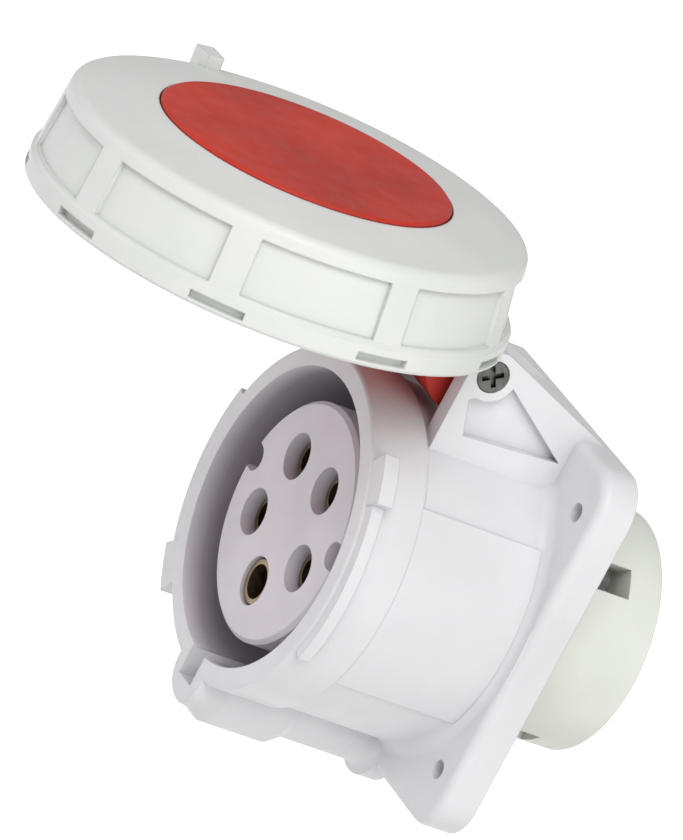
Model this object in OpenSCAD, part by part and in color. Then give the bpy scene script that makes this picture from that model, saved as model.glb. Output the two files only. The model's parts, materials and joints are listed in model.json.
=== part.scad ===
// Five-pole pin-and-sleeve panel socket with a hinged screw-down cover.
// Origin: centre of the barrel axis on the mounting face of the flange.
// +Z is up, the plug comes in from -Y, and +Y goes into the panel.

/* [Flange] */
// Width of the flange
flange_w = 106; // [104:0.5:130]
// Height of the flange
flange_h = 114; // [112:0.5:140]
// Height of the flange's centre over the barrel axis
flange_up = 1.2; // [0:0.1:4]
// Thickness of the flange
flange_t = 11; // [8:0.5:16]
// Corner radius of the flange
flange_corner = 12; // [8:0.5:14]
// Rounding of the flange's front edge
flange_edge = 3; // [1:0.1:5]
// Distance between the panel holes across
hole_dx = 85; // [83:0.5:90]
// Distance between the panel holes up and down
hole_dz = 82.5; // [81:0.5:88]
// Diameter of the panel holes
hole_d = 5.5; // [4:0.1:6.5]

/* [Barrel] */
// Length from the mounting face to the front rim
barrel_len = 71; // [66:0.5:84]
// Outer radius of the collar round the mouth
collar_r = 49.5; // [48.5:0.1:50]
// Length of the collar behind the rim
collar_len = 18; // [14:0.1:19]
// How far the barrel lies under the collar
barrel_step = 1.5; // [0.5:0.1:2.5]
// Inner radius of the mouth
mouth_r = 43.4; // [42:0.1:44]
// Depth of the mouth
mouth_depth = 48; // [40:0.5:50]
// Thickness of the floor that carries the insert
floor_t = 5; // [4:0.1:6]
// Inner radius of the rear chamber
chamber_r = 43; // [42:0.1:44]

/* [Insert] */
// Radius of the contact insert
insert_r = 35; // [33:0.1:36]
// How far the insert's face lies behind the rim
insert_back = 5; // [3:0.1:8]
// Radius of the circle of contacts
pitch_r = 19; // [18:0.1:20]
// Diameter of the live contact holes
hole_live_d = 13.6; // [13:0.1:14]
// Diameter of the earth contact hole
hole_earth_d = 14.2; // [14:0.1:15.4]
// Radius of the terminal block behind the panel
block_r = 35.5; // [34.5:0.1:37]
// Length of the terminal block behind the panel
block_out = 36; // [34:0.5:44]

/* [Contacts] */
// Bore of the live sleeves, for 8 mm pins
pin_live_d = 8.1; // [8:0.05:8.3]
// Bore of the earth sleeve, for a 10 mm pin
pin_earth_d = 10.1; // [10:0.05:10.3]
// Wall of the sleeves
sleeve_wall = 1.4; // [1.2:0.1:1.6]
// Depth of the pin bores
pin_depth = 38; // [32:0.5:42]
// Diameter of the wire bores
wire_d = 6.6; // [6:0.1:7.5]

/* [Cover] */
// Height of the hinge over the barrel axis
hinge_up = 66; // [65:0.1:68]
// Distance of the hinge behind the rim
hinge_back = 27.1; // [26:0.1:29]
// Diameter of the hinge screw
hinge_d = 5; // [4:0.1:6]
// Angle that the cover stands open
cover_open = 84.6; // [0:0.2:95]
// Distance of the cap's face in front of the rim
cap_front = 13.7; // [13:0.1:15]
// Radius of the cap's raised face
cap_face_r = 42.2; // [40:0.1:43]
// Largest radius of the locking ring
ring_r = 69.7; // [69.5:0.1:72]
// Number of grip ribs
rib_count = 9; // [6:1:12]
// Width of a grip rib
rib_w = 9; // [6:0.5:12]
// Depth of the panels between the ribs
panel_depth = 1.3; // [1:0.1:1.6]
// How far the bayonet lugs stand out from the collar
lug_out = 6; // [4.5:0.1:6]

/* [Hidden] */
$fn = 96;

// clearances: diameter of a fit, seat beside a head, running gap of the cover, way past the housing
fit = 0.1;
gap = 0.3;
run = 0.6;
past = 1.4;

// places along the barrel axis
rim_y = -barrel_len;
mouth_y = rim_y + mouth_depth;
floor_y = mouth_y + floor_t;
face_y = rim_y + insert_back;
flange_y = -flange_t;
barrel_r = collar_r - barrel_step;

hole_up = flange_up + 0.7;
gasket_r = chamber_r + 2;
gasket_w = 4;
gasket_t = 1.6;

// contacts: place round the circle, seen from the front, earth at six o'clock
CONTACT_ANGLES = [126, 54, -18, 198, -90];
// side that each clamp screw is turned to
SCREW_ANGLES = [150, 30, -90, -90, -90];
EARTH = 4;

// flange of the terminal block behind the floor
insert_flange_r = chamber_r - 1;
block_flange_t = 10;
block_back_y = floor_y + block_flange_t;
insert_screw_d = 2.9;
insert_screw_head_r = 2.6;
insert_screw_head_t = 2;
insert_screw_r = (block_r + insert_flange_r) / 2;
insert_screw_y = floor_y - 4;

// seal round the insert, in the thickness of the floor
seal_d = 1.8;
seal_y = floor_y - floor_t / 2;

// contact sizes
block_rear_t = 6;
terminal_end = block_out - block_rear_t;
wire_depth = 22;
neck_r = 4.2;
neck_l = 6;
clamp_y = block_out / 2 + 0.5;
clamp_d = 5;
clamp_head_r = 3.7;
clamp_head_t = 3.2;
clamp_head_at = 8.4;
clamp_tip_at = wire_d / 2 + 0.2;
window_w = 8.6;
window_l = 14;
hole_depth = 20;
ring_wire = 0.5;
ring_wire_at = 2.5;
ring_wire_l = 2;
function pin_d(i) = i == EARTH ? pin_earth_d : pin_live_d;
function sleeve_r(i) = pin_d(i) / 2 + sleeve_wall;
function sleeve_y(i) = face_y + (i == EARTH ? 1 : 4);
function insert_hole_d(i) = i == EARTH ? hole_earth_d : hole_live_d;

// key slot at six o'clock and the lobe round it
ring_wall = 5.3;
ring_in_r = ring_r - ring_wall;
lobe_out = ring_in_r - 2.4;
lobe_swell = 3;
key_w = 9;
key_r = lobe_out - lobe_swell - 6.6;
key_l = mouth_depth - 6;
lobe_r = key_w / 2 + 5.5;
lobe_z = lobe_r + lobe_swell - lobe_out;

// seams of the moulding: lobe below the barrel, ears above it, rim with the lugs
lobe_seam = 7.5 - collar_r;
lobe_half = collar_r - 18;
ear_seam = barrel_r - 7.2;
ear_foot = 0.5;
rim_seam = rim_y + 6;
far = 2 * collar_r;

// hinge
knuckle_r = 6;
boss_r = 7.4;
arm_half = 18.5;
arm_t = 4.3;
arm_in_r = collar_r + run;
cam_r = hinge_up - collar_r;
ear_gap = 0.5;
ear_in = arm_half + ear_gap;
ear_t = 6;
ear_out = ear_in + ear_t;
ear_web = 3;
washer_t = ear_gap - 0.04;
washer_r = 5.4;
screw_head_r = 4.5;
screw_head_t = 2.4;
nut_t = 4;
nut_r = 4.6;

// cover, drawn closed: each level is a distance behind the cap's face
cap_y = rim_y - cap_front;
hinge_y = rim_y + hinge_back;
ear_front = hinge_y - boss_r;
ring_room = ring_in_r - collar_r;
inner_r = collar_r + 0.436 * ring_room;
inner_wall = 0.175 * ring_room;
shoulder = 6;
cap_flange_r = inner_r - gap;
cap_flange_t = 2.4;
rim_wall = collar_r - mouth_r;
cap_body_r = collar_r - 0.15 * rim_wall;
cap_top_t = 3;
cap_hollow_r = mouth_r - 3.5;
cap_end = cap_front - 1;
seal_in_r = mouth_r - 0.9;
seal_out_r = mouth_r + 0.54 * rim_wall;
cap_seal_t = 4.1;
cap_seal_level = cap_front - 0.05 - cap_seal_t;
keeper_t = 1.4;
keeper_level = shoulder + cap_flange_t + fit;
keeper_deep = 1;
arm_level = keeper_level + keeper_t + 0.4;
ring_top = 1;
ring_end = ear_front - cap_y - past;
ring_slope = 2.6;
ring_corner = 3;
ring_taper = 2.3;
ring_lip = 1;
ring_lip_h = 6;
panel_level = ring_top + ring_slope + 5;
panel_end = ring_end - ring_lip_h - 1.5;
inner_end = cap_front - 0.8;
web_level = ring_top + ring_slope + 3.2;
wall_level = web_level + 1.5;
wall_in_r = ring_in_r - 1.2;
rib_start = 17;
rib_step = 360 / rib_count;
low_r = ring_r - ring_lip;
high_r = low_r - ring_taper;

// bayonet: lugs on the collar, tabs in the ring
lug_w = 13;
lug_t = 4.8;
lug_back = 0.4;
LUG_ANGLES = [38, 222];
band_out = 3;
band_spread = 64;
tab_turn = 24;
tab_w = 12;
tab_t = 4;
tab_level = cap_front + lug_back + lug_t + 0.5;
tab_in_r = collar_r + 2.3;
tab_play = 0.2;

// degrees that a width takes on a circle
function arc(w, r) = w / r * 180 / PI;

// a cylinder along the barrel axis from y0 to y1
module rod(r, y0, y1) {
    translate([0, y0, 0]) rotate([-90, 0, 0]) cylinder(r = r, h = y1 - y0);
}

// a tube along the barrel axis
module tube(r_out, r_in, y0, y1) {
    difference() {
        rod(r_out, y0, y1);
        rod(r_in, y0 - 1, y1 + 1);
    }
}

// turns what lies on +X round the barrel axis, towards +Z
module at_angle(a) {
    rotate([0, -a, 0]) children();
}

// revolves a profile of [radius, level] points, level growing towards +Y
module turned(y0) {
    translate([0, y0, 0]) rotate([-90, 0, 0]) rotate_extrude() children();
}

// a slice of a tube, centred on +X
module sector(r_out, r_in, y0, y1, spread) {
    translate([0, y0, 0]) rotate([-90, 0, 0]) rotate([0, 0, -spread / 2])
        rotate_extrude(angle = spread) translate([r_in, 0]) square([r_out - r_in, y1 - y0]);
}

// extrudes a flat shape along X at the hinge, from x0 to x1
module across(x0, x1) {
    translate([x0, hinge_y, hinge_up]) rotate([90, 0, 90]) linear_extrude(x1 - x0) children();
}

// opens the cover about the hinge
module opened() {
    translate([0, hinge_y, hinge_up]) rotate([-cover_open, 0, 0])
        translate([0, -hinge_y, -hinge_up]) children();
}

module flange_blank() {
    corner_x = flange_w / 2 - flange_corner;
    corner_z = flange_h / 2 - flange_corner;
    translate([0, 0, flange_up]) hull() {
        for (sx = [-1, 1], sz = [-1, 1]) {
            translate([sx * corner_x, 0, sz * corner_z]) rotate([90, 0, 0]) {
                cylinder(r = flange_corner, h = flange_t - flange_edge, $fn = 48);
                translate([0, 0, flange_t - flange_edge])
                    rotate_extrude($fn = 48) intersection() {
                        translate([flange_corner - flange_edge, 0]) circle(r = flange_edge, $fn = 32);
                        square([flange_corner, flange_edge]);
                    }
            }
        }
    }
}

// outside of the barrel: collar, step, straight body and the flare into the flange
module barrel_profile() {
    root = 4;
    lip = 1.2;
    polygon([
        [0, 0],
        [collar_r - lip, 0],
        for (a = [15:15:75]) [collar_r - lip + lip * sin(a), lip - lip * cos(a)],
        [collar_r, lip],
        [collar_r, collar_len],
        [barrel_r, collar_len + barrel_step],
        [barrel_r, barrel_len - flange_t - root],
        for (a = [15:15:75]) [barrel_r + root - root * cos(a), barrel_len - flange_t - root + root * sin(a)],
        [barrel_r + root, barrel_len - flange_t],
        [barrel_r + root, barrel_len - flange_t + 1],
        [0, barrel_len - flange_t + 1]
    ]);
}

// hinge ear, from the barrel and the flange up to the screw boss
module ear() {
    foot_z = ear_seam - 5;
    rear_y = -1.5;
    rear_z = flange_up + flange_h / 2 - 0.2;
    // where the top edge leaves the boss
    reach = norm([hinge_y - rear_y, hinge_up - rear_z]);
    rise = atan2(hinge_up - rear_z, rear_y - hinge_y) + asin(boss_r / reach);
    pocket_z = collar_r - 2;
    translate([ear_in, 0, 0]) rotate([90, 0, 90]) difference() {
        union() {
            linear_extrude(ear_t) polygon([
                [ear_front, foot_z],
                [rear_y, foot_z],
                [rear_y, rear_z],
                [hinge_y + boss_r * sin(rise), hinge_up + boss_r * cos(rise)],
                [hinge_y, hinge_up],
                [ear_front, hinge_up]
            ]);
            translate([hinge_y, hinge_up, 0]) cylinder(r = boss_r, h = ear_t);
        }
        // sunk face between the ribs
        translate([0, 0, ear_web]) difference() {
            linear_extrude(ear_t) polygon([
                [ear_front + 4, hinge_up - boss_r - 1],
                [ear_front + 7.6, pocket_z],
                [flange_y - 1.7, pocket_z + 1.8],
                [hinge_y + 6.7, hinge_up - 0.8]
            ]);
            translate([hinge_y, hinge_up, -1]) cylinder(r = boss_r, h = ear_t + 2);
        }
    }
}

// mirrored pair of children about the middle plane
module both_sides() {
    children();
    mirror([1, 0, 0]) children();
}

// rounded lobe under the barrel, round the key slot, ending in the flange
module lobe_form() {
    swell_end = key_l - 14;
    flare = 3;
    flare_end = barrel_len - flange_t;
    foot = barrel_len - 2;
    translate([0, 0, lobe_z]) turned(rim_y) polygon([
        [0, 0],
        [lobe_r - 1, 0],
        [lobe_r, 1],
        [lobe_r + 0.6, 4],
        [lobe_r + lobe_swell, 8],
        [lobe_r + lobe_swell, swell_end],
        [lobe_r, swell_end + 5],
        for (a = [0:15:75]) [lobe_r + flare - flare * cos(a), flare_end - flare + flare * sin(a)],
        [lobe_r + flare, flare_end],
        [lobe_r + flare, foot - flare],
        [lobe_r, foot],
        [0, foot]
    ]);
}

// the whole barrel with its ears, lobe, lugs and pads, before it is divided at the seams
module barrel_moulding() {
    pad_y = rim_y + collar_len;
    pad_w = 57;
    lug_end = rim_y + lug_back + lug_t;
    lip = 0.4;
    difference() {
        union() {
            turned(rim_y) barrel_profile();
            both_sides() ear();
            lobe_form();
            // bayonet lugs, each at the end of a raised band
            for (a = LUG_ANGLES) {
                at_angle(a) sector(collar_r + lug_out, collar_r - 1, rim_y + lug_back, lug_end, arc(lug_w, collar_r));
                at_angle(a + 3 - band_spread / 2)
                    sector(collar_r + band_out, collar_r - 1.6, rim_y + lug_back + lip, lug_end - 0.7, band_spread);
            }
            // pads along the sides
            both_sides() at_angle(2)
                sector(barrel_r + 0.9, barrel_r - 1, pad_y, flange_y - 2, arc(pad_w, barrel_r));
        }
        rod(mouth_r, rim_y - 1, mouth_y);
        rod(insert_r + fit / 2, rim_y, 1);
        rod(chamber_r, floor_y, 1);
        // key slot
        translate([-key_w / 2, rim_y - 1, -key_r]) cube([key_w, key_l, key_r - mouth_r + 8]);
        // hinge bore, with the seats of the head and the nut
        across(-ear_out - 1, ear_out + 1) circle(d = hinge_d + fit);
        across(ear_out - screw_head_t, ear_out + 1) circle(r = screw_head_r + gap);
        across(-ear_out - 1, -ear_out + nut_t) circle(r = nut_r + gap, $fn = 6);
        // holes for the insert screws
        for (a = [45:90:315]) at_angle(a) translate([insert_screw_r, 0, 0])
            rod((insert_screw_d + fit) / 2, insert_screw_y, floor_y + 1);
    }
}

// all that lies between two places along the barrel axis
module slab(y0, y1) {
    translate([-far, y0, -far]) cube([2 * far, y1 - y0, 2 * far]);
}

// the part of the moulding that the lobe takes, in front of the flange
module lobe_block() {
    translate([-lobe_half, rim_y - 1, lobe_seam - far]) cube([2 * lobe_half, flange_y - rim_y + 1, far]);
}

// the parts of the moulding that the ears take, in front of the flange
module ear_blocks() {
    both_sides() translate([ear_in - ear_foot, ear_front - ear_foot, ear_seam])
        cube([ear_t + 2 * ear_foot, flange_y - ear_front + ear_foot, far]);
}

module flange() {
    color("gainsboro") difference() {
        union() {
            flange_blank();
            intersection() {
                barrel_moulding();
                slab(flange_y, 0);
            }
        }
        rod(chamber_r, flange_y - 1, 1);
        // panel holes
        for (sx = [-1, 1], sz = [-1, 1])
            translate([sx * hole_dx / 2, 0, hole_up + sz * hole_dz / 2]) rod(hole_d / 2, flange_y - 1, 1);
        // groove for the gasket
        tube(gasket_r + gasket_w, gasket_r, -gasket_t, 1);
    }
}

module housing() {
    color("gainsboro") difference() {
        intersection() {
            barrel_moulding();
            slab(mouth_y, flange_y);
        }
        lobe_block();
        ear_blocks();
    }
}

module shroud() {
    color("gainsboro") difference() {
        intersection() {
            barrel_moulding();
            slab(rim_seam, mouth_y);
        }
        lobe_block();
        ear_blocks();
    }
}

module shroud_rim() {
    color("gainsboro") difference() {
        intersection() {
            barrel_moulding();
            slab(rim_y - 1, rim_seam);
        }
        lobe_block();
    }
}

module key_lobe() {
    color("gainsboro") intersection() {
        barrel_moulding();
        lobe_block();
    }
}

module hinge_ears() {
    color("gainsboro") intersection() {
        barrel_moulding();
        ear_blocks();
    }
}

module contact_insert() {
    notch_r = 4;
    notch_in = 7;
    notch_deep = 13;
    groove_in_r = insert_r - seal_d;
    color("thistle") difference() {
        turned(face_y) polygon([
            [0, 0],
            [insert_r - 1.2, 0],
            [insert_r, 1.2],
            [insert_r, floor_y - face_y],
            [0, floor_y - face_y]
        ]);
        for (i = [0:4]) at_angle(CONTACT_ANGLES[i]) translate([pitch_r, 0, 0]) {
            rod(insert_hole_d(i) / 2, face_y - 1, face_y + hole_depth);
            rod(sleeve_r(i) + fit / 2, face_y, floor_y + 1);
        }
        // side notches in the face
        for (a = [9, 171]) at_angle(a) translate([insert_r - notch_in + notch_r, 0, 0]) {
            rod(notch_r, face_y - 1, face_y + notch_deep);
            translate([0, face_y - 1, -notch_r]) cube([notch_in, notch_deep + 1, 2 * notch_r]);
        }
        // groove of the seal
        tube(insert_r + 1, groove_in_r, seal_y - seal_d * 0.7, seal_y + seal_d * 0.7);
    }
}

module terminal_block() {
    color("lightgray") difference() {
        union() {
            rod(block_r, floor_y, block_out);
            rod(insert_flange_r, floor_y, block_back_y);
        }
        for (i = [0:4]) at_angle(CONTACT_ANGLES[i]) translate([pitch_r, 0, 0]) {
            rod(sleeve_r(i) + fit / 2, floor_y - 1, terminal_end + fit / 2);
            rod(wire_d / 2 + 1, terminal_end - 1, block_out + 1);
        }
        // windows over the clamp screws
        for (i = [0:4]) screw_side(i) {
            rotate([0, 90, 0]) cylinder(d = window_w, h = block_r);
            translate([sleeve_r(i), -window_l / 2, -window_w / 2]) cube([block_r, window_l, window_w]);
        }
        for (a = [45:90:315]) at_angle(a) translate([insert_screw_r, 0, 0])
            rod(insert_screw_d / 2 + fit, floor_y - 1, block_back_y + 1);
    }
}

// places children at clamp screw i, with +X along the screw, outwards
module screw_side(i) {
    at_angle(CONTACT_ANGLES[i]) translate([pitch_r, clamp_y, 0])
        at_angle(SCREW_ANGLES[i] - CONTACT_ANGLES[i]) children();
}

// a sleeve contact with its neck and the wire bore behind it
module contact(i) {
    r = sleeve_r(i);
    bore_end = sleeve_y(i) + pin_depth;
    color("goldenrod") difference() {
        at_angle(CONTACT_ANGLES[i]) translate([pitch_r, 0, 0]) difference() {
            rod(r, sleeve_y(i), terminal_end);
            rod(pin_d(i) / 2, sleeve_y(i) - 1, bore_end);
            rod(wire_d / 2, terminal_end - wire_depth, terminal_end + 1);
            tube(r + 1, neck_r, bore_end + 2, bore_end + 2 + neck_l);
        }
        screw_side(i) rotate([0, 90, 0]) cylinder(d = clamp_d + fit, h = 2 * r);
    }
}

module contact_l1() { contact(0); }

module contact_l2() { contact(1); }

module contact_l3() { contact(2); }

module contact_neutral() { contact(3); }

module contact_earth() { contact(EARTH); }

// spring rings that close the front of each sleeve
module sleeve_rings() {
    color("dimgray") for (i = [0:4]) at_angle(CONTACT_ANGLES[i]) translate([pitch_r, 0, 0])
        tube(sleeve_r(i) + fit / 2 + ring_wire, sleeve_r(i) + fit / 2,
            sleeve_y(i) + ring_wire_at, sleeve_y(i) + ring_wire_at + ring_wire_l);
}

module clamp_screws() {
    color("silver") for (i = [0:4]) screw_side(i) rotate([0, 90, 0]) difference() {
        union() {
            translate([0, 0, clamp_tip_at]) cylinder(d = clamp_d, h = clamp_head_at - clamp_tip_at);
            translate([0, 0, clamp_head_at]) cylinder(r = clamp_head_r, h = clamp_head_t);
        }
        translate([-clamp_head_r - 1, -0.6, clamp_head_at + clamp_head_t - 1.2])
            cube([2 * clamp_head_r + 2, 1.2, 2]);
    }
}

module insert_screws() {
    color("silver") for (a = [45:90:315]) at_angle(a) translate([insert_screw_r, 0, 0]) difference() {
        union() {
            rod(insert_screw_d / 2, insert_screw_y + 0.5, block_back_y);
            rod(insert_screw_head_r, block_back_y, block_back_y + insert_screw_head_t);
        }
        translate([-0.4, block_back_y + insert_screw_head_t - 0.9, -insert_screw_head_r - 1])
            cube([0.8, 2, 2 * insert_screw_head_r + 2]);
    }
}

module insert_seal() {
    color("black") turned(seal_y) translate([insert_r + fit / 2 - seal_d / 2 - 0.02, 0])
        circle(d = seal_d - 0.02, $fn = 24);
}

module panel_gasket() {
    color("dimgray") tube(gasket_r + gasket_w - fit / 2, gasket_r + fit / 2, -gasket_t, 0);
}

module cover_cap() {
    arm_spread = arc(2 * arm_half - 3, arm_in_r + arm_t);
    web_t = 4.4;
    web_y = ear_front - past / 2;
    color("firebrick") opened() difference() {
        union() {
            turned(cap_y) polygon([
                [0, 0],
                [cap_face_r - 0.8, 0],
                [cap_face_r, 0.8],
                [cap_face_r, shoulder],
                [cap_flange_r, shoulder],
                [cap_flange_r, shoulder + cap_flange_t],
                [cap_body_r, shoulder + cap_flange_t],
                [cap_body_r, cap_end],
                [seal_out_r + fit / 2, cap_end],
                [seal_out_r + fit / 2, cap_seal_level],
                [seal_in_r - fit / 2, cap_seal_level],
                [seal_in_r - fit / 2, cap_end],
                [cap_hollow_r, cap_end],
                [cap_hollow_r, cap_top_t],
                [0, cap_top_t]
            ]);
            // arm: root, curved strap, web, knuckle and the cam that fills the gap over the barrel
            at_angle(90) sector(arm_in_r + arm_t, cap_body_r - 0.5, cap_y + arm_level, cap_y + cap_end, arm_spread);
            at_angle(90) sector(arm_in_r + arm_t, arm_in_r, cap_y + arm_level, web_y + web_t, arm_spread);
            translate([-arm_half + 2, web_y, arm_in_r]) cube([2 * arm_half - 4, web_t, hinge_up - arm_in_r]);
            across(-arm_half, arm_half) circle(r = knuckle_r);
            intersection() {
                across(2 - arm_half, arm_half - 2) circle(r = cam_r);
                translate([-arm_half, hinge_y, hinge_up - 2 * cam_r]) cube(2 * [arm_half, cam_r, cam_r]);
            }
        }
        across(-arm_half - 1, arm_half + 1) circle(d = hinge_d + fit);
        rod(arm_in_r, cap_y + cap_end + 1, web_y + web_t + 1);
    }
}

module cap_seal() {
    color("black") opened() tube(seal_out_r, seal_in_r, cap_y + cap_seal_level, cap_y + cap_seal_level + cap_seal_t);
}

// section of the locking ring: sloping top, tapered wall, lip and the short inner wall
module ring_section() {
    open_r = cap_face_r + 0.5;
    slope_r = high_r - ring_corner;
    bend = ring_top + ring_slope;
    groove_end = keeper_level + keeper_t + fit;
    polygon([
        [open_r, ring_top],
        [slope_r, bend],
        for (a = [15:15:75]) [slope_r + ring_corner * sin(a), bend + ring_corner * (1 - cos(a))],
        [high_r, bend + ring_corner],
        [low_r, ring_end - ring_lip_h - ring_lip],
        [ring_r, ring_end - ring_lip_h],
        [ring_r, ring_end - 0.8],
        [ring_r - 0.8, ring_end],
        [ring_in_r + 0.4, ring_end],
        [ring_in_r, ring_end - 2],
        [ring_in_r, tab_level],
        [wall_in_r, wall_level],
        [wall_in_r - 3.1, web_level],
        [inner_r + inner_wall, web_level],
        [inner_r + inner_wall, inner_end],
        [inner_r, inner_end],
        [inner_r, groove_end],
        [inner_r + keeper_deep, groove_end],
        [inner_r + keeper_deep, keeper_level - fit],
        [inner_r, keeper_level - fit],
        [inner_r, shoulder - fit],
        [open_r, shoulder - fit]
    ]);
}

// all round the ring's outer wall, behind the top
module wall_space() {
    tube(ring_r + 5, inner_r + inner_wall + 0.5, cap_y + wall_level, cap_y + ring_end + 5);
}

module locking_ring() {
    rib_spread = arc(rib_w, low_r);
    slot_spread = 13;
    slot_y = cap_y + ring_end - 3.8;
    slot_h = 2.2;
    color("whitesmoke") opened() difference() {
        intersection() {
            turned(cap_y) ring_section();
            wall_space();
        }
        for (k = [0:rib_count - 1]) at_angle(rib_start - 90 + k * rib_step) {
            // panel beside each rib
            at_angle(rib_step / 2) panel_cut(low_r - panel_depth, high_r - panel_depth, rib_step - rib_spread);
            // slot in the lip under each rib
            sector(ring_r + 1, low_r - 1, slot_y, slot_y + slot_h, slot_spread);
        }
    }
}

// top of the ring with the short inner wall
module ring_top() {
    web_l = wall_in_r - inner_r - 2;
    color("whitesmoke") opened() {
        difference() {
            union() {
                turned(cap_y) ring_section();
                // web behind each rib
                for (k = [0:rib_count - 1]) at_angle(rib_start - 90 + k * rib_step)
                    translate([inner_r + 1, cap_y + web_level - 0.5, -1])
                        cube([web_l, inner_end - web_level - 1, 2]);
                // pointer on the top edge
                at_angle(-175) sector(high_r + 3, high_r - 5, cap_y + ring_top - 1.4, cap_y + web_level, 4.6);
            }
            difference() {
                wall_space();
                rod(wall_in_r - 1, cap_y, cap_y + inner_end);
            }
        }
    }
}

// bayonet tabs, each on a post that stands on the inner wall
module ring_tabs() {
    spread = arc(tab_w, tab_in_r);
    color("whitesmoke") opened() for (a = LUG_ANGLES) at_angle(a + tab_turn) {
        sector(wall_in_r - tab_play, inner_r, cap_y + inner_end, cap_y + tab_level + 1, spread);
        sector(ring_in_r - tab_play, tab_in_r, cap_y + tab_level, cap_y + tab_level + tab_t, spread);
    }
}

module panel_cut(end_r, start_r, spread) {
    translate([0, cap_y, 0]) rotate([-90, 0, 0]) rotate([0, 0, -spread / 2])
        rotate_extrude(angle = spread) polygon([
            [start_r, panel_level],
            [ring_r + 1, panel_level],
            [ring_r + 1, panel_end],
            [end_r, panel_end]
        ]);
}

module retaining_ring() {
    split = 30;
    color("silver") opened() at_angle(-90)
        sector(inner_r + keeper_deep - fit, cap_body_r + 0.5, cap_y + keeper_level, cap_y + keeper_level + keeper_t, 360 - split);
}

module hinge_screw() {
    recess_l = 6.4;
    recess_w = 1.5;
    color("dimgray") difference() {
        union() {
            across(-ear_out + 0.6, ear_out - screw_head_t) circle(d = hinge_d);
            across(ear_out - screw_head_t, ear_out - 0.2) circle(r = screw_head_r);
        }
        // cross recess
        for (a = [30, 120]) translate([ear_out - 1.4, hinge_y, hinge_up]) rotate([a, 0, 0])
            translate([0, -recess_l / 2, -recess_w / 2]) cube([2, recess_l, recess_w]);
    }
}

module hinge_nut() {
    color("silver") across(-ear_out + 0.2, -ear_out + nut_t) difference() {
        circle(r = nut_r, $fn = 6);
        circle(d = hinge_d + fit);
    }
}

module friction_washers() {
    color("silver") both_sides() across(arm_half + 0.02, arm_half + 0.02 + washer_t) difference() {
        circle(r = washer_r);
        circle(d = hinge_d + fit);
    }
}

flange();
housing();
shroud();
shroud_rim();
key_lobe();
hinge_ears();
contact_insert();
terminal_block();
contact_l1();
contact_l2();
contact_l3();
contact_neutral();
contact_earth();
sleeve_rings();
clamp_screws();
insert_screws();
insert_seal();
panel_gasket();
cover_cap();
cap_seal();
locking_ring();
ring_top();
ring_tabs();
retaining_ring();
hinge_screw();
hinge_nut();
friction_washers();
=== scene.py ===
# Dresses the industrial panel socket: mouldings joined from their nodes, plastic, metal and rubber
# finishes with soft edges, and the studio. Lengths are in metres in the part's own frame.
import json
import math
import bpy
import bmesh
from mathutils import Matrix, Vector


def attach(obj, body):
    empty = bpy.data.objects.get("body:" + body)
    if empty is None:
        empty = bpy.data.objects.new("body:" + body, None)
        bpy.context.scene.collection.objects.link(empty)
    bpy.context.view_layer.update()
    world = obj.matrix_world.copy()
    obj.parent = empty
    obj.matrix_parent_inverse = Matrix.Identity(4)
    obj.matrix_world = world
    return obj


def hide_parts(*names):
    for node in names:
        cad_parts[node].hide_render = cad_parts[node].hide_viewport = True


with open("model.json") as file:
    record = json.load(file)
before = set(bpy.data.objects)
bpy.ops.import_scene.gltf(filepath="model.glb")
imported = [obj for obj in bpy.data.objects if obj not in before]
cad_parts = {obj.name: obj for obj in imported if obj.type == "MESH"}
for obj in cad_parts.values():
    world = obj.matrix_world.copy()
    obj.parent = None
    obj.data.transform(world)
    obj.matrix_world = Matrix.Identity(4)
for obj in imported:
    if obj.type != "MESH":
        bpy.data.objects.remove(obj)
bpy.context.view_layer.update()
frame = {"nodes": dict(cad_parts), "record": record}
nodes = frame["nodes"]
MM = 0.001

# edges that turn by more than this stay sharp
SHARP = math.radians(35)
# vertices nearer than this are one: in a node, and in a moulding joined from its nodes
NODE_WELD, MOULDING_WELD = 0.0001 * MM, 0.001 * MM
# where painted shade goes on the wall inside the collar: its radius, the rim's place along Y and a
# place behind the floor
MOUTH_R, MOUTH_FRONT, MOUTH_BACK = 44.5 * MM, -71.0 * MM, -20.0 * MM
MOUTH_FADE = 6 * MM
# how near two surfaces are where painted shade darkens plastic, and where it darkens metal
CORNER_SHADE_REACH, HOLLOW_SHADE_REACH = 6 * MM, 8 * MM


# ---------------------------------------------------------------- finishes

def screen_colour(red, green, blue):
    """A colour given as 0-255 screen values, as the linear values that a shader takes."""
    def linear(level):
        level /= 255.0
        return level / 12.92 if level <= 0.04045 else ((level + 0.055) / 1.055) ** 2.4
    return (linear(red), linear(green), linear(blue), 1.0)


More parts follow.
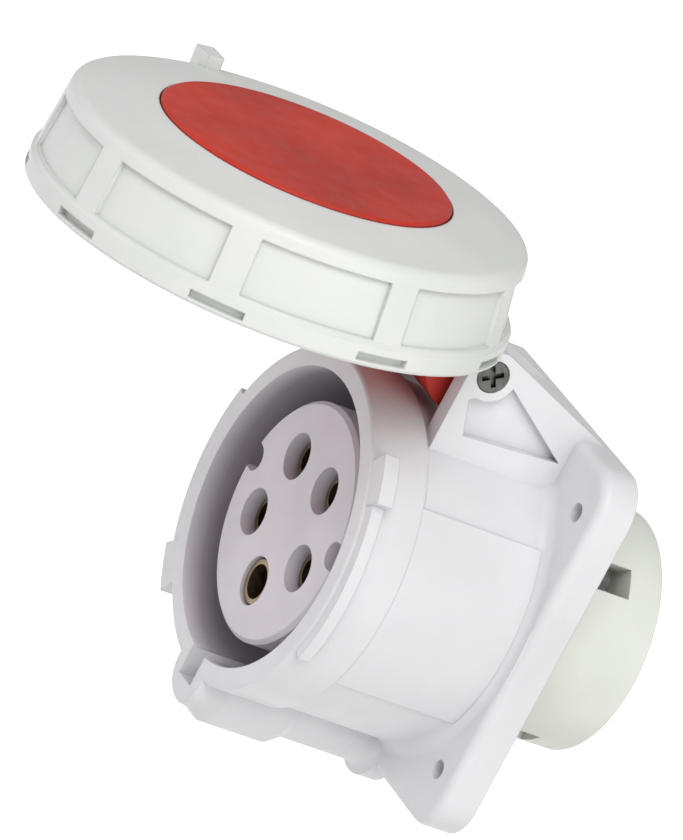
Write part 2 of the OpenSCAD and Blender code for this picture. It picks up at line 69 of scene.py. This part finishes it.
class Finish:
    """A material with its main shader, and short ways to add nodes to it."""

    def __init__(self, name, roughness, metallic=0.0, specular=0.5):
        self.material = bpy.data.materials.new(name)
        self.material.use_nodes = True
        self.nodes = self.material.node_tree.nodes
        self.links = self.material.node_tree.links
        self.nodes.clear()
        self.output = self.nodes.new("ShaderNodeOutputMaterial")
        self.shader = self.nodes.new("ShaderNodeBsdfPrincipled")
        self.links.new(self.shader.outputs["BSDF"], self.output.inputs["Surface"])
        self.set("Roughness", roughness)
        self.set("Metallic", metallic)
        self.set("Specular IOR Level", specular)
        self.place = self.nodes.new("ShaderNodeTexCoord").outputs["Object"]
        self.relief = None

    def set(self, socket, value):
        self.shader.inputs[socket].default_value = value

    def noise(self, scale, detail):
        """A noise value from 0 to 1. scale counts patches per metre."""
        noise = self.nodes.new("ShaderNodeTexNoise")
        noise.inputs["Scale"].default_value = scale
        noise.inputs["Detail"].default_value = detail
        noise.inputs["Roughness"].default_value = 0.5
        self.links.new(self.place, noise.inputs["Vector"])
        return noise.outputs["Fac"]

    def spread(self, value, low, high, start=0.3, end=0.7):
        """The value from start to end, spread over low to high."""
        node = self.nodes.new("ShaderNodeMapRange")
        node.inputs["From Min"].default_value = start
        node.inputs["From Max"].default_value = end
        node.inputs["To Min"].default_value = low
        node.inputs["To Max"].default_value = high
        self.links.new(value, node.inputs["Value"])
        return node.outputs["Result"]

    def mix(self, value, first, second):
        """A colour that goes from first to second with the value."""
        node = self.nodes.new("ShaderNodeMix")
        node.data_type = "RGBA"
        self.links.new(value, node.inputs["Factor"])
        # the colour sockets A and B share their names with those of the other data types
        for socket, colour in zip((node.inputs[6], node.inputs[7]), (first, second)):
            if isinstance(colour, tuple):
                socket.default_value = colour
            else:
                self.links.new(colour, socket)
        return node.outputs[2]

    def colour(self, value):
        self.links.new(value, self.shader.inputs["Base Color"])

    def roughness(self, value):
        self.links.new(value, self.shader.inputs["Roughness"])

    def bump(self, height, distance, strength):
        """Raises the surface by the height value. distance is in metres."""
        node = self.nodes.new("ShaderNodeBump")
        node.inputs["Strength"].default_value = strength
        node.inputs["Distance"].default_value = distance
        self.links.new(height, node.inputs["Height"])
        if self.relief:
            self.links.new(self.relief, node.inputs["Normal"])
        self.relief = node.outputs["Normal"]
        self.links.new(self.relief, self.shader.inputs["Normal"])

    def round_edges(self, radius):
        """Softens sharp edges as a mould does. It comes before any bump."""
        node = self.nodes.new("ShaderNodeBevel")
        node.samples = 6
        node.inputs["Radius"].default_value = radius
        self.relief = node.outputs["Normal"]

    def inside_value(self, radius, front, back):
        """A value of 1 within a radius of the Y axis from front to back, faded in at the front."""
        parts = self.nodes.new("ShaderNodeSeparateXYZ")
        self.links.new(self.place, parts.inputs["Vector"])

        def step(operation, first, second):
            node = self.nodes.new("ShaderNodeMath")
            node.operation = operation
            for socket, value in zip(node.inputs, (first, second)):
                if isinstance(value, float):
                    socket.default_value = value
                else:
                    self.links.new(value, socket)
            return node.outputs[0]

        x, y, z = (parts.outputs[letter] for letter in "XYZ")
        square = step("ADD", step("MULTIPLY", x, x), step("MULTIPLY", z, z))
        near = step("LESS_THAN", square, radius ** 2)
        along = self.spread(y, 0.0, 1.0, front, front + MOUTH_FADE)
        return step("MULTIPLY", near, step("MULTIPLY", along, step("LESS_THAN", y, back)))

    def corner_value(self, reach, most):
        """A value from 0 to most that rises where another surface is within reach."""
        node = self.nodes.new("ShaderNodeAmbientOcclusion")
        node.inputs["Distance"].default_value = reach
        node.samples = 8
        return self.spread(node.outputs["AO"], most, 0.0, 0.2, 0.95)


def moulded_plastic(name, pale, shade, roughness, corner_shade, edge=0.5 * MM, mouth_shade=None):
    """Moulded plastic: slow colour drift, a fine grain, soft edges and painted shade in its
    corners.

    mouth_shade is painted shade: a darker colour on the wall inside the collar, which sees little
    light.
    """
    finish = Finish(name, roughness, specular=0.45)
    drift = finish.spread(finish.noise(28, 4), 0.0, 1.0)
    tone = finish.mix(drift, pale, shade)
    # painted shade: the colour goes darker where other surfaces are near
    tone = finish.mix(finish.corner_value(CORNER_SHADE_REACH, 0.5), tone, corner_shade)
    # painted shade on the wall inside the collar
    if mouth_shade:
        mouth_shade_mask = finish.inside_value(MOUTH_R, MOUTH_FRONT, MOUTH_BACK)
        tone = finish.mix(mouth_shade_mask, tone, mouth_shade)
    finish.colour(tone)
    finish.roughness(finish.spread(finish.noise(160, 3), roughness - 0.06, roughness + 0.08))
    finish.round_edges(edge)
    finish.bump(finish.noise(1500, 2), 0.04 * MM, 0.35)
    finish.bump(finish.noise(45, 2), 0.2 * MM, 0.12)
    return finish.material


def machined_metal(name, bright, dull, roughness):
    """Turned or pressed metal: a fine grain, a dull film and painted shade in its hollows."""
    finish = Finish(name, roughness, metallic=1.0)
    grain = finish.noise(700, 2)
    film = finish.mix(finish.spread(finish.noise(220, 4), 0.0, 1.0), bright, dull)
    # painted shade: the hollows go dark brown where other surfaces are near
    hollow_shade = finish.corner_value(HOLLOW_SHADE_REACH, 0.85)
    finish.colour(finish.mix(hollow_shade, film, screen_colour(40, 36, 30)))
    finish.roughness(finish.spread(grain, roughness - 0.08, roughness + 0.12))
    finish.bump(grain, 0.03 * MM, 0.4)
    return finish.material


def soft_rubber(name, colour, dusty):
    """Soft rubber with a dusty bloom."""
    finish = Finish(name, 0.75, specular=0.3)
    finish.colour(finish.mix(finish.spread(finish.noise(240, 5), 0.0, 1.0), colour, dusty))
    finish.bump(finish.noise(1200, 2), 0.05 * MM, 0.5)
    return finish.material


# the corner colours given below, and body_plastic's colour inside the collar, are painted shade
FINISHES = {
    "body_plastic": moulded_plastic(
        "body_plastic", screen_colour(233, 233, 235), screen_colour(225, 225, 227), 0.40,
        corner_shade=screen_colour(186, 182, 187), mouth_shade=screen_colour(172, 166, 174)),
    "ring_plastic": moulded_plastic(
        "ring_plastic", screen_colour(234, 235, 233), screen_colour(226, 228, 225), 0.42,
        corner_shade=screen_colour(186, 188, 184), edge=0.8 * MM),
    "cap_plastic": moulded_plastic(
        "cap_plastic", screen_colour(212, 54, 32), screen_colour(182, 42, 28), 0.5,
        corner_shade=screen_colour(96, 30, 28)),
    "insert_plastic": moulded_plastic(
        "insert_plastic", screen_colour(228, 223, 229), screen_colour(216, 211, 218), 0.5,
        corner_shade=screen_colour(140, 132, 142), edge=0.3 * MM),
    "block_plastic": moulded_plastic(
        "block_plastic", screen_colour(236, 238, 230), screen_colour(226, 229, 219), 0.5,
        corner_shade=screen_colour(158, 160, 148)),
    "contact_brass": machined_metal(
        "contact_brass", screen_colour(170, 152, 120), screen_colour(128, 112, 86), 0.4),
    "spring_steel": machined_metal(
        "spring_steel", screen_colour(170, 170, 172), screen_colour(128, 128, 130), 0.35),
    "screw_steel": machined_metal(
        "screw_steel", screen_colour(196, 196, 194), screen_colour(150, 150, 148), 0.3),
    "hinge_steel": machined_metal(
        "hinge_steel", screen_colour(120, 120, 116), screen_colour(84, 84, 82), 0.4),
    "seal_rubber": soft_rubber(
        "seal_rubber", screen_colour(34, 33, 34), screen_colour(52, 50, 50)),
    "gasket_rubber": soft_rubber(
        "gasket_rubber", screen_colour(72, 70, 70), screen_colour(92, 90, 88)),
}
NODE_SLOTS = {entry["node"]: entry["material_slot"] for entry in frame["record"]["subparts"]}

for name, node in nodes.items():
    for index in range(max(1, len(node.data.materials))):
        if index < len(node.data.materials):
            node.material_slots[index].material = FINISHES[NODE_SLOTS[name]]
        else:
            node.data.materials.append(FINISHES[NODE_SLOTS[name]])


# ---------------------------------------------------------------- mouldings

def weld(mesh, reach):
    """Joins vertices within reach of each other, and shades the mesh smooth up to sharp edges."""
    shape = bmesh.new()
    shape.from_mesh(mesh)
    bmesh.ops.remove_doubles(shape, verts=shape.verts, dist=reach)
    for face in shape.faces:
        face.smooth = True
    for edge in shape.edges:
        edge.smooth = edge.calc_face_angle(math.pi) < SHARP
    shape.to_mesh(mesh)
    shape.free()


def joined_mesh(name, node_names):
    """One closed mesh of the nodes that a moulding was divided into."""
    parts = []
    for node_name in node_names:
        copy = nodes[node_name].data.copy()
        weld(copy, NODE_WELD)
        part = bpy.data.objects.new(name, copy)
        bpy.context.collection.objects.link(part)
        parts.append(part)
    for other in parts[1:]:
        join = parts[0].modifiers.new("join", "BOOLEAN")
        join.operation = "UNION"
        join.solver = "MANIFOLD"
        join.object = other
    bpy.context.view_layer.update()
    whole = parts[0].evaluated_get(bpy.context.evaluated_depsgraph_get())
    mesh = bpy.data.meshes.new_from_object(whole)
    for part in parts:
        bpy.data.objects.remove(part)
    mesh.name = name
    return mesh


def moulding(name, node_names, body):
    """A moulding with the form of its nodes. Its finish rounds its edges."""
    mesh = joined_mesh(name, node_names)
    weld(mesh, MOULDING_WELD)
    slot = NODE_SLOTS[node_names[0]]
    mesh.materials.clear()
    mesh.materials.append(FINISHES[slot])
    piece = bpy.data.objects.new(name, mesh)
    bpy.context.collection.objects.link(piece)
    even = piece.modifiers.new("even faces", "WEIGHTED_NORMAL")
    even.mode = "FACE_AREA"
    even.weight = 50
    even.keep_sharp = True
    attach(piece, body)
    for node_name in node_names:
        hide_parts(node_name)
    return piece


BODY_NODES = ["shroud", "shroud_rim", "housing", "flange", "key_lobe", "hinge_ears"]
RING_NODES = ["locking_ring", "ring_top", "ring_tabs"]
moulding("body_moulding", BODY_NODES, "base")
moulding("ring_moulding", RING_NODES, "ring")
moulding("cap_moulding", ["cover_cap"], "lid")
moulding("insert_moulding", ["contact_insert"], "base")
moulding("block_moulding", ["terminal_block"], "base")


# ---------------------------------------------------------------- studio

def studio_white(name, glow):
    """A matt white that shows its shadows and glows a little to the camera."""
    material = bpy.data.materials.new(name)
    material.use_nodes = True
    tree, links = material.node_tree, material.node_tree.links
    tree.nodes.clear()
    output = tree.nodes.new("ShaderNodeOutputMaterial")
    matt = tree.nodes.new("ShaderNodeBsdfDiffuse")
    matt.inputs["Color"].default_value = (0.9, 0.9, 0.9, 1.0)
    light = tree.nodes.new("ShaderNodeEmission")
    path = tree.nodes.new("ShaderNodeLightPath")
    seen = tree.nodes.new("ShaderNodeMath")
    seen.operation = "MAXIMUM"
    links.new(path.outputs["Is Camera Ray"], seen.inputs[0])
    links.new(path.outputs["Is Glossy Ray"], seen.inputs[1])
    strength = tree.nodes.new("ShaderNodeMath")
    strength.operation = "MULTIPLY"
    strength.inputs[1].default_value = glow
    links.new(seen.outputs[0], strength.inputs[0])
    links.new(strength.outputs[0], light.inputs["Strength"])
    both = tree.nodes.new("ShaderNodeAddShader")
    links.new(matt.outputs[0], both.inputs[0])
    links.new(light.outputs[0], both.inputs[1])
    links.new(both.outputs[0], output.inputs["Surface"])
    return material


def floor(height, half):
    """A level white floor that reaches half its size each way from the origin."""
    shape = bmesh.new()
    bmesh.ops.create_grid(shape, x_segments=1, y_segments=1, size=half)
    bmesh.ops.translate(shape, verts=shape.verts, vec=(0, 0, height))
    mesh = bpy.data.meshes.new("floor")
    shape.to_mesh(mesh)
    shape.free()
    mesh.materials.append(studio_white("floor_white", FLOOR_GLOW))
    piece = bpy.data.objects.new("floor", mesh)
    bpy.context.collection.objects.link(piece)


def soft_lamp(name, place, aim, size, power, tint):
    """A square lamp. size is its side in metres and power is in watts."""
    lamp = bpy.data.lights.new(name, "AREA")
    lamp.shape = "SQUARE"
    lamp.size = size
    lamp.energy = power
    lamp.color = tint
    holder = bpy.data.objects.new(name, lamp)
    holder.location = place
    direction = Vector(aim) - Vector(place)
    holder.rotation_euler = direction.to_track_quat("-Z", "Y").to_euler()
    bpy.context.collection.objects.link(holder)


def studio_air(strength):
    """White air all round: full white to the camera, and strength as light on the part."""
    world = bpy.data.worlds.new("studio_air")
    world.use_nodes = True
    tree = world.node_tree
    back = tree.nodes["Background"]
    back.inputs["Color"].default_value = (1.0, 1.0, 1.0, 1.0)
    path = tree.nodes.new("ShaderNodeLightPath")
    pick = tree.nodes.new("ShaderNodeMapRange")
    tree.links.new(path.outputs["Is Camera Ray"], pick.inputs["Value"])
    pick.inputs["To Min"].default_value = strength
    pick.inputs["To Max"].default_value = 1.0
    tree.links.new(pick.outputs["Result"], back.inputs["Strength"])
    bpy.context.scene.world = world


def camera(azimuth, elevation, roll, distance, aim, lens):
    """The camera at a distance from its aim, rolled about its own axis."""
    turn, tilt, spin = (math.radians(angle) for angle in (azimuth, elevation, roll))
    level = math.cos(tilt)
    back = Vector((math.sin(turn) * level, -math.cos(turn) * level, math.sin(tilt)))
    right = Vector((0, 0, 1)).cross(back).normalized()
    up = back.cross(right)
    across = math.cos(spin) * right + math.sin(spin) * up
    upright = math.cos(spin) * up - math.sin(spin) * right
    data = bpy.data.cameras.new("camera")
    data.lens = lens
    data.clip_start, data.clip_end = 0.05, 50
    holder = bpy.data.objects.new("camera", data)
    turned = Matrix((across, upright, back)).transposed().to_4x4()
    holder.matrix_world = Matrix.Translation(Vector(aim) + back * distance) @ turned
    bpy.context.collection.objects.link(holder)
    bpy.context.scene.camera = holder


FLOOR_GLOW = 0.7
COLLAR = (0, -0.06, 0.03)
SIDE_AIM = (0, -0.04, 0.03)
camera(
    azimuth=60.286, elevation=14.302, roll=27.913, distance=2.48246,
    aim=(-0.018124, -0.055, 0.027404), lens=385.714)
floor(height=-0.12, half=8.0)
studio_air(0.42)
soft_lamp("key", (1.1, -0.55, 1.1), COLLAR, 0.9, 12.5, (1.0, 1.0, 1.0))
soft_lamp("fill", (-0.6, -1.3, 0.5), COLLAR, 1.0, 3.5, (0.97, 0.96, 1.0))
soft_lamp("side", (1.2, 0.3, 0.15), SIDE_AIM, 0.6, 2.5, (1.0, 1.0, 0.97))

bpy.context.scene.view_settings.view_transform = "Standard"
